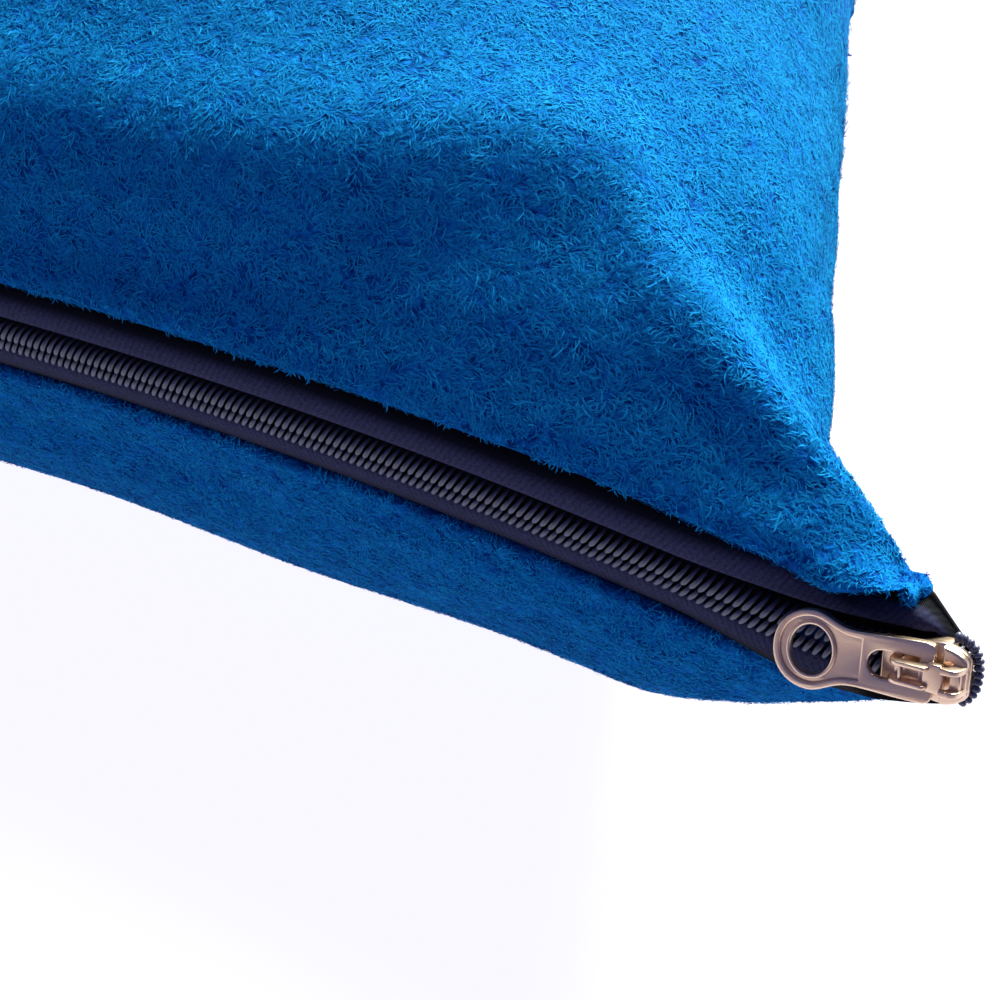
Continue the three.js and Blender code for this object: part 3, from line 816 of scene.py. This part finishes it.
# The two tapes, as closed bands swept along the zip, with the weave's own map on them
def sweptBand(name, sectionAt, material, steps=420):
    t = np.linspace(-1, 1, steps + 1)
    xs = (form["length"] / 2) * np.sign(t) * (1 - (1 - np.abs(t)) ** 1.35)
    rings = []
    for x in xs:
        section = np.array(sectionAt(x))
        rings.append(onZip(np.full(len(section), x), section[:, 0], section[:, 1]))
    rings = np.array(rings)
    rings[..., 0] = np.clip(rings[..., 0], -form["length"] / 2, form["length"] / 2)
    count = rings.shape[1]
    faces = []
    for k in range(steps):
        for i in range(count):
            j = (i + 1) % count
            faces.append((k * count + i, k * count + j, (k + 1) * count + j, (k + 1) * count + i))
    faces.append(list(range(count)))
    faces.append([steps * count + i for i in range(count)][::-1])
    piece = meshPiece(name, rings.reshape(-1, 3) * mm, faces, material)
    mesh = piece.data
    layer = mesh.uv_layers.new(name="weave")
    run = np.concatenate([[0], np.cumsum(np.linalg.norm(np.diff(rings[:, 0], axis=0), axis=1))])
    girth = np.concatenate([[0], np.cumsum(np.linalg.norm(np.diff(rings[steps // 2], axis=0), axis=1))])
    loops = np.empty(len(mesh.loops), dtype=np.int32)
    mesh.loops.foreach_get("vertex_index", loops)
    uv = np.stack([run[loops // count], girth[loops % count]], -1) * mm
    layer.data.foreach_set("uv", uv.ravel())
    x, w, n = zipPlace(rings.reshape(-1, 3))
    # Painted shade: near black where the tape lies low in the trough, in a band below the fleece's
    # overhanging edge and near the tape's end at the corner
    deep = mesh.attributes.new("deep", "FLOAT", "POINT")
    shaded = smooth((w - upEdge(x) + tape["shadow"]) / 0.9) * smooth((fromCorner(x) - 7) / 10) * 0.85
    shaded = np.maximum(shaded, 0.6 * smooth((5.5 - fromCorner(x)) / 4))
    deep.data.foreach_set("value", np.maximum(smooth((-0.45 - n) / 1.1), shaded).astype(np.float32))
    faceOutwards(piece, merge=False)
    return piece


tape = dict(lipStart=3.9, under=0.25, floor=-2.45, lowerStart=2.25, shadow=4.2)


def upperTapeSection(x):
    s = float(fromCorner(x))
    inner = 0.05 + float(spreadAt(x))
    edge = max(float(upEdge(x)) - 0.08, inner + 0.9)
    full = float(smooth((s - 1.5) / 5))
    lip = min(tape["lipStart"] + float(spreadAt(x)), inner + 0.62 * (edge - inner))
    rest = edge - lip
    base = -zipStrip["depth"] + tape["under"]
    back = [(inner + (edge - inner) * k / 6, base + bend(inner + (edge - inner) * k / 6)) for k in range(7)]
    top = [(1.0, -3.05), (0.88, -2.9), (0.78, -2.35), (0.68, -1.5), (0.58, -0.75), (0.46, -0.22),
           (0.34, -0.02), (0.2, 0.03), (0.1, -0.05), (0.03, -0.26), (0.0, -0.6), (0.02, -1.0), (0.07, -1.6)]
    flat = [base + 0.62 + bend(lip + rest * a) for a, b in top]
    crest = [(lip + rest * a, max(low, b * full + (1 - full) * (low + 0.25)))
             for (a, b), low in zip(top, flat)]
    floor = [(inner + (lip - inner) * k, tape["floor"]) for k in (0.97, 0.66, 0.33, 0.02)]
    return back + crest + floor


def lowerTapeSection(x):
    s = float(fromCorner(x))
    inner = -0.05 - float(spreadAt(x))
    edge = -float(downEdge(x)) + 0.08
    full = float(smooth((s - 11) / 4))
    base = -zipStrip["depth"] + tape["under"]
    width = inner - edge
    back = [(inner - width * k / 6, base + bend(inner - width * k / 6)) for k in range(7)]
    start = tape["lowerStart"]
    outer = -edge - start
    top = [(1.0, -2.95), (0.93, -2.6), (0.84, -2.0), (0.7, -1.3), (0.52, -0.85), (0.34, -0.6),
           (0.18, -0.5), (0.07, -0.58), (0.0, -0.85), (0.0, -1.7)]
    flat = [base + 0.6 + bend(start + outer * a) for a, b in top]
    face = [(-start - outer * a, max(low, b * full + (1 - full) * -2.2)) for (a, b), low in zip(top, flat)]
    return back + face + [(-start + 0.2, tape["floor"]), (inner - 0.02, tape["floor"])]


print("zip tapes")
tapeMaterial = tapeFinish()
upperTape = sweptBand("zipTapeUpper", upperTapeSection, tapeMaterial)
lowerTape = sweptBand("zipTapeLower", lowerTapeSection, tapeMaterial)


def joined(name, pieces):
    work = bmesh.new()
    for piece in pieces:
        work.from_mesh(piece.data)
    mesh = bpy.data.meshes.new(name)
    work.to_mesh(mesh)
    work.free()
    mesh.materials.append(pieces[0].data.materials[0])
    for piece in pieces:
        bpy.data.objects.remove(piece)
    shadeSmooth(mesh)
    mesh.set_sharp_from_angle(angle=math.radians(50))
    return addObject(name, mesh)


# The coil: one bent loop of nylon for each tooth, laid along its row
coil = dict(pitch=1.22, sides=8, slant=0.6, upperShift=(-0.7, 0.2), lowerShift=(-0.25, 0.05))


def tubeMesh(name, path, radii, sides, material):
    path = np.array(path, float)
    radii = np.array(radii, float)
    tangents = unit(np.gradient(path, axis=0))
    guide = np.array([1.0, 0.0, 0.0])
    points, faces = [], []
    for centre, tangent, (wide, high) in zip(path, tangents, radii):
        side = unit(guide - tangent * (guide @ tangent))
        up = np.cross(tangent, side)
        for k in range(sides):
            angle = 2 * math.pi * (k + 0.5) / sides
            points.append(centre + side * wide * math.cos(angle) + up * high * math.sin(angle))
    rings = len(path)
    for i in range(rings - 1):
        for k in range(sides):
            j = (k + 1) % sides
            faces.append((i * sides + k, i * sides + j, (i + 1) * sides + j, (i + 1) * sides + k))
    faces.append(list(range(sides))[::-1])
    faces.append([(rings - 1) * sides + k for k in range(sides)])
    piece = meshPiece(name, np.array(points) * mm, faces, material)
    faceOutwards(piece)
    return piece


def toothShape(material):
    slant = coil["slant"]
    path = [(slant * lean, w, n) for lean, w, n in (
        (1.9, 2.8, -2.6), (1.85, 2.8, -1.7), (1.6, 2.62, -1.05), (1.2, 2.2, -0.6), (0.75, 1.65, -0.36),
        (0.25, 1.1, -0.3), (-0.15, 0.66, -0.4), (-0.4, 0.38, -0.65), (-0.45, 0.3, -1.1))]
    radii = [(0.2, 0.2), (0.24, 0.24), (0.28, 0.26), (0.34, 0.3), (0.39, 0.32), (0.4, 0.33),
             (0.36, 0.3), (0.28, 0.26), (0.2, 0.2)]
    return tubeMesh("tooth", path, radii, coil["sides"], material)


def rowTree():
    graph, start = treeWith("toothRow", Tooth="Object", Material="Material")
    aims = [graph.node("GeometryNodeInputNamedAttribute", {"data_type": "FLOAT_VECTOR"}, {0: name})
            for name in ("rowAlong", "rowOut")]
    turned = graph.node("FunctionNodeAxesToRotation", {"primary_axis": "X", "secondary_axis": "Z"}, aims)
    placed = graph.node("GeometryNodeInstanceOnPoints", {}, {
        "Points": start["Geometry"], "Instance": shapeOf(graph, start["Tooth"]), "Rotation": turned})
    return closedTree(graph, placed, start["Material"])


def toothRow(name, side, tree, tooth, material):
    dense = np.linspace(-form["length"] / 2 + 0.6, form["length"] / 2 - 1.3, 4000)
    line = zipLine(dense)
    run = np.concatenate([[0], np.cumsum(np.linalg.norm(np.diff(line, axis=0), axis=1))])
    places = np.arange(0 if side > 0 else coil["pitch"] / 2, run[-1], coil["pitch"])
    xs = np.interp(places, run, dense)
    at, along, across, out = zipFrame(xs)
    shift, lift = coil["upperShift" if side > 0 else "lowerShift"]
    points = at + across * (shift + side * spreadAt(xs))[:, None] + out * lift
    mesh = bpy.data.meshes.new(name + "Points")
    mesh.from_pydata((points * mm).tolist(), [], [])
    for label, vectors in (("rowAlong", along * side), ("rowOut", out)):
        attribute = mesh.attributes.new(label, "FLOAT_VECTOR", "POINT")
        attribute.data.foreach_set("vector", vectors.astype(np.float32).ravel())
    made = grownBy(addObject(name + "Host", mesh), tree, name, Tooth=tooth, Material=material)
    shadeSmooth(made.data)
    return made


# Past the slider's nose the last turns of the coil curl round it as a row of small bumps
coilEnd = dict(
    places=((2.9, 4.25), (2.2, 4.15), (1.5, 3.8), (0.95, 3.3), (0.55, 2.65), (0.3, 1.9), (0.2, 1.05),
            (0.18, 0.2), (0.22, -0.65), (0.35, -1.5), (0.65, -2.25), (1.1, -2.95), (1.7, -3.5)),
    along=0.48, outward=0.66, high=0.55, under=-0.35,
)


def withEndBumps(row):
    c = coilEnd
    half = form["length"] / 2
    parts = [row]
    places = np.array(c["places"])
    ways = unit(np.gradient(places, axis=0))
    frames = zipFrame(np.array([half - zipStrip["straight"] / 2]))
    along, across, out = (Vector(part[0]) for part in frames[1:])
    base = Vector(zipLine(np.array([half]))[0])
    for (s, w), (ds, dw) in zip(places, ways):
        work = bmesh.new()
        bmesh.ops.create_uvsphere(work, u_segments=10, v_segments=7, radius=0.5)
        forward = (-along * ds + across * dw).normalized()
        side = forward.cross(out).normalized()
        turned = Matrix((forward * c["along"] * 2, side * c["outward"] * 2, out * c["high"] * 2)).transposed()
        at = base - along * s + across * w + out * c["under"]
        work.transform(Matrix.Translation(at * mm) @ (turned * mm).to_4x4())
        mesh = bpy.data.meshes.new("bump")
        work.to_mesh(mesh)
        work.free()
        bump = addObject("bump", mesh)
        bump.data.materials.append(row.data.materials[0])
        faceOutwards(bump)
        parts.append(bump)
    return joined("zipCoilUpperRow", parts)


print("zip coil")
coilMaterial = coilFinish()
tooth = toothShape(coilMaterial)
teethTree = rowTree()
upperCoil = toothRow("zipCoilUpper", 1, teethTree, tooth, coilMaterial)
upperCoil = withEndBumps(upperCoil)
lowerCoil = toothRow("zipCoilLower", -1, teethTree, tooth, coilMaterial)
bpy.data.objects.remove(tooth)


# The slider and its pull are drawn flat, as outlines with distances along the zip from its end and across it
slider = dict(
    near=0.6, length=10.4, shoulder=3.75, mouth=3.0, plate=1.1, lift=0.2, back=3.2, foot=1.2,
)
pull = dict(
    start=4.0, length=19.2, thick=1.3, lift=1.45, tilt=math.radians(6.5), roll=math.radians(4),
    ringBack=4.7, hole=(2.6, 3.2), holeRim=0.5, slotHalf=1.75, slotStart=1.7, slotEnd=5.9, rim=0.85, step=8.3,
)


def bezier(a, b, c, d, steps=10):
    t = np.linspace(0, 1, steps + 1)[1:, None]
    a, b, c, d = (np.array(p, float) for p in (a, b, c, d))
    return ((1 - t) ** 3 * a + 3 * (1 - t) ** 2 * t * b + 3 * (1 - t) * t**2 * c + t**3 * d).tolist()


def outlineFrom(start, *moves):
    points = [list(start)]
    for move in moves:
        if len(move) == 1:
            points.append(list(move[0]))
        elif len(move) == 2:
            a, (b, c) = np.array(points[-1]), np.array(move)
            points += bezier(a, a + (b - a) * 2 / 3, c + (b - c) * 2 / 3, c)
        else:
            points += bezier(points[-1], *move)
    if math.dist(points[0], points[-1]) < 1e-6:
        points.pop()
    return points


def oval(cx, cy, rx, ry, steps=40):
    angles = [2 * math.pi * k / steps for k in range(steps)]
    return [(cx + rx * math.cos(angle), cy + ry * math.sin(angle)) for angle in angles]


def plateMesh(name, outlines, low, high, bevel, material, steps=3):
    curve = bpy.data.curves.new(name, "CURVE")
    curve.dimensions = "2D"
    curve.fill_mode = "BOTH"
    curve.extrude = ((high - low) / 2 - bevel) * mm
    curve.bevel_depth = bevel * mm
    curve.bevel_resolution = steps
    curve.offset = -bevel * mm
    for outline in outlines:
        spline = curve.splines.new("POLY")
        spline.points.add(len(outline) - 1)
        for point, (x, y) in zip(spline.points, outline):
            point.co = (x * mm, y * mm, 0, 1)
        spline.use_cyclic_u = True
    host = addObject(name + "Curve", curve)
    piece = addObject(name, plainMesh(host, name))
    bpy.data.objects.remove(host)
    piece.data.transform(Matrix.Translation((0, 0, (low + high) / 2 * mm)))
    piece.data.materials.clear()
    piece.data.materials.append(material)
    faceOutwards(piece)
    shadeSmooth(piece.data)
    piece.data.set_sharp_from_angle(angle=math.radians(50))
    return piece


def placeOnZip(piece, distance, out, tilt=0.0, roll=0.0):
    half = form["length"] / 2
    frames = [part[0] for part in zipFrame(np.array([half - zipStrip["straight"] / 2]))]
    along, across, normal = (Vector(part) for part in frames[1:])
    at = Vector(zipLine(np.array([half - distance]))[0]) + normal * out
    turned = Matrix((-along, -across, normal)).transposed().to_4x4()
    leaning = Matrix.Rotation(-tilt, 4, "Y") @ Matrix.Rotation(roll, 4, "X")
    piece.data.transform(Matrix.Translation(at * mm) @ turned @ leaning)
    return piece


def sliderOutline(inset=0.0):
    a, b, end = slider["shoulder"] - inset, slider["mouth"] - inset, slider["length"] - inset
    return outlineFrom(
        (inset, -1.9), ((inset + 0.3, -a + 0.4), (3, -a)), ((4.6, -a), (5.4, -b - 0.2), (7.2, -b)),
        ((end - 0.8, -b),), ((end, -b), (end, -b + 0.8)), ((end, b - 0.8),), ((end, b), (end - 0.8, b)),
        ((7.2, b),), ((5.4, b + 0.2), (4.6, a), (3, a)), ((inset + 0.3, a - 0.4), (inset, 1.9)))


def wallOutline(side):
    a, b, end = slider["shoulder"], slider["mouth"], slider["length"]
    inside = zipStrip["coilWidth"] - 0.55
    wide = inside + 0.25
    points = outlineFrom(
        (2.2, a - 0.06), ((3, a - 0.02),), ((4.6, a), (5.4, b + 0.2), (7.2, b)), ((end - 0.1, b - 0.02),),
        ((end - 0.1, inside),), ((6.6, inside),), ((4.8, wide),), ((2.4, wide),))
    return [(x, side * y) for x, y in points]


def sideProfile(name, outline, wide, centre, bevel, material):
    piece = plateMesh(name, [outline], -wide / 2, wide / 2, bevel, material)
    piece.data.transform(Matrix.Translation((0, centre * mm, 0)) @ Matrix.Rotation(math.pi / 2, 4, "X"))
    return piece


def buildSlider(material):
    s = slider
    top = s["lift"] + s["plate"]
    nose = [point for point in sliderOutline(0.15) if point[0] < 3.2]
    under = [(x + 0.5, y) for x, y in sliderOutline(0.5)]
    neck = [(1.2, -0.5), (3, -0.35), (3, 0.35), (1.2, 0.5)]
    parts = [plateMesh(name, [outline], low, high, bevel, material) for name, outline, low, high, bevel in (
        ("sliderPlate", sliderOutline(), s["lift"], top, 0.3),
        ("sliderNose", nose, s["lift"], top + 0.95, 0.35),
        ("sliderBack", under, -s["back"] - 1, -s["back"], 0.25),
        ("sliderWallA", wallOutline(1), -s["foot"], s["lift"] + 0.2, 0.05),
        ("sliderWallB", wallOutline(-1), -s["foot"], s["lift"] + 0.2, 0.05),
        ("sliderNeck", neck, -s["back"] - 0.2, s["lift"] + 0.3, 0.1))]
    rear = outlineFrom(
        (3.9, top - 0.2), ((4.0, 3.9),), ((4.1, 4.55), (4.7, 4.6)), ((7.5, 4.6),), ((8.5, 4.5), (8.75, 3.0)),
        ((8.8, top - 0.2),), ((7.8, top - 0.2),), ((7.7, 2.9), (7.1, 3.1)), ((5.1, 3.1),),
        ((4.8, 3.0), (4.8, top - 0.2)))
    fore = outlineFrom(
        (0.1, top - 0.25), ((0.15, 3.1), (0.6, 3.8)), ((1.0, 4.3), (1.6, 4.35)), ((2.5, 4.4),),
        ((2.65, 3.6),), ((1.9, 3.3),), ((1.7, top - 0.25),))
    for side in (-1, 1):
        parts.append(sideProfile("bridgeRear", rear, 0.55, side * 1.15, 0.15, material))
        parts.append(sideProfile("bridgeFore", fore, 0.75, side * 1.35, 0.15, material))
    cap = [(2.3, -1.2), (2.7, -1.75), (4.1, -1.75), (4.7, -1.1), (4.7, 1.1), (4.1, 1.75), (2.7, 1.75),
           (2.3, 1.2)]
    parts += [plateMesh(name, [outline], low, high, bevel, material) for name, outline, low, high, bevel in (
        ("bridgeCap", cap, 2.7, 3.75, 0.2),
        ("bridgeWeb", [(4.4, -1.0), (8.3, -1.0), (8.3, 1.0), (4.4, 1.0)], 2.2, 2.6, 0.1),
        ("bridgePin", [(7.0, -1.1), (7.35, -1.1), (7.35, 1.1), (7.0, 1.1)], 3.3, 4.2, 0.12),
        ("bridgeFoot", [(0.5, -1.0), (1.7, -1.0), (1.7, 1.0), (0.5, 1.0)], top - 0.2, 3.2, 0.15))]
    return placeOnZip(joined("zipSlider", parts), s["near"], 0)


def pullOutline():
    length = pull["length"]
    ring = length - pull["ringBack"]
    return outlineFrom(
        (0, -2.6), ((0, -3.7), (1.2, -3.75)), ((6, -3.7), (8.5, -3.2), (10.4, -3.6)),
        ((12, -4.0), (13, -5.0), (ring, -5.05)), ((ring + 2.8, -5.0), (length, -2.9), (length, 0)),
        ((length, 2.9), (ring + 2.8, 5.0), (ring, 5.05)), ((13, 5.0), (12, 4.0), (10.4, 3.6)),
        ((8.5, 3.2), (6, 3.7), (1.2, 3.75)), ((0, 3.7), (0, 2.6)))


def insetOutline(outline, distance):
    points = np.array(outline)
    before, after = np.roll(points, 1, 0), np.roll(points, -1, 0)
    direction = unit(after - before)
    normal = np.stack([-direction[:, 1], direction[:, 0]], -1)
    area = np.sum(points[:, 0] * after[:, 1] - after[:, 0] * points[:, 1]) / 2
    return points + normal * distance * (1 if area > 0 else -1)


def buildPull(material):
    p = pull
    outline = pullOutline()
    ring, step, high = p["length"] - p["ringBack"], p["step"], p["thick"] / 2
    wide, tall = p["hole"]
    hole = oval(ring, 0, wide, tall)
    near, far, half = p["slotStart"], p["slotEnd"], p["slotHalf"]
    roundEnd = [((far + half * math.cos(a), half * math.sin(a)),) for a in np.linspace(-1.5, 1.5, 9)]
    slot = outlineFrom((near, -half), ((far, -half),), *roundEnd, ((far, half),), ((near, half),))
    rimInside = [tuple(point) for point in insetOutline(outline, p["rim"]) if point[0] > step]
    head = [(x, y) for x, y in outline if x < step]
    lowSide = [point for point in head if point[1] < 0]
    highSide = [point for point in head if point[1] > 0]
    headOutline = highSide + [(0, 0)] + lowSide + [(step, lowSide[-1][1]), (step, highSide[0][1])]
    holeRim = oval(ring, 0, wide + p["holeRim"], tall + p["holeRim"])
    parts = [
        plateMesh("pullPlate", [outline, hole, slot], -high, high - 0.45, 0.2, material),
        plateMesh("pullRim", [outline, rimInside, slot], -0.1, high, 0.22, material),
        plateMesh("pullHoleRim", [holeRim, hole], -0.1, high - 0.08, 0.2, material),
        plateMesh("pullHead", [headOutline, slot], -0.1, high - 0.04, 0.14, material),
    ]
    return placeOnZip(joined("zipPull", parts), p["start"], p["lift"] + high, p["tilt"], p["roll"])


print("slider and pull")
metalMaterial = metalFinish()
sliderPiece = buildSlider(metalMaterial)
pullPiece = buildPull(metalMaterial)


# Floor, light and camera
camera = dict(side=math.radians(18.16), rise=math.radians(50.08), lens=43.2, place=(160.3, -249.5, 183.7))


def buildStage():
    half, under = 3, 0.0002
    corners = [(-half, -half, -under), (half, -half, -under), (half, half, -under), (-half, half, -under)]
    floor = meshPiece("floor", corners, [(0, 1, 2, 3)], floorFinish())
    sun = bpy.data.lights.new("key", "SUN")
    sun.energy = light["strength"]
    sun.angle = light["spread"]
    sun.color = light["tint"]
    lamp = addObject("key", sun)
    lamp.rotation_euler = Vector(light["toward"]).to_track_quat("Z", "Y").to_euler()
    world = bpy.data.worlds.new("studio")
    bpy.context.scene.world = world
    world.use_nodes = True
    graph = Graph(world.node_tree)
    direction = graph.node("ShaderNodeTexCoord", output="Generated")
    height = graph.node("ShaderNodeSeparateXYZ", {}, [direction], "Z")
    stops = [(0.0, light["horizon"]), (0.28, light["low"]), (0.6, light["sky"])]
    colour = graph.node("ShaderNodeValToRGB", {"stops": stops}, {"Fac": height})
    graph.join(colour, world.node_tree.nodes["Background"].inputs["Color"])
    bpy.context.scene.view_settings.view_transform = "Standard"


def buildCamera():
    a, e = camera["side"], camera["rise"]
    back = Vector((math.sin(a) * math.cos(e), -math.cos(a) * math.cos(e), math.sin(e)))
    right = Vector((math.cos(a), math.sin(a), 0))
    lens = bpy.data.cameras.new("camera")
    lens.lens = camera["lens"]
    lens.sensor_width = 36
    lens.clip_start = 0.005
    piece = addObject("camera", lens)
    piece.location = Vector(camera["place"]) * mm
    piece.rotation_euler = Matrix((right, back.cross(right), back)).transposed().to_euler()
    bpy.context.scene.camera = piece


print("stage")
buildStage()
buildCamera()

for piece in [pillow, *pilePieces, upperTape, lowerTape, upperCoil, lowerCoil, sliderPiece, pullPiece]:
    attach(piece, "root")
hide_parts("pillow")
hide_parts("zip_tape_upper")
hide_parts("zip_tape_lower")
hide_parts("zip_coil_upper")
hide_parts("zip_coil_lower")
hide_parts("zip_slider")
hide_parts("zip_pull")
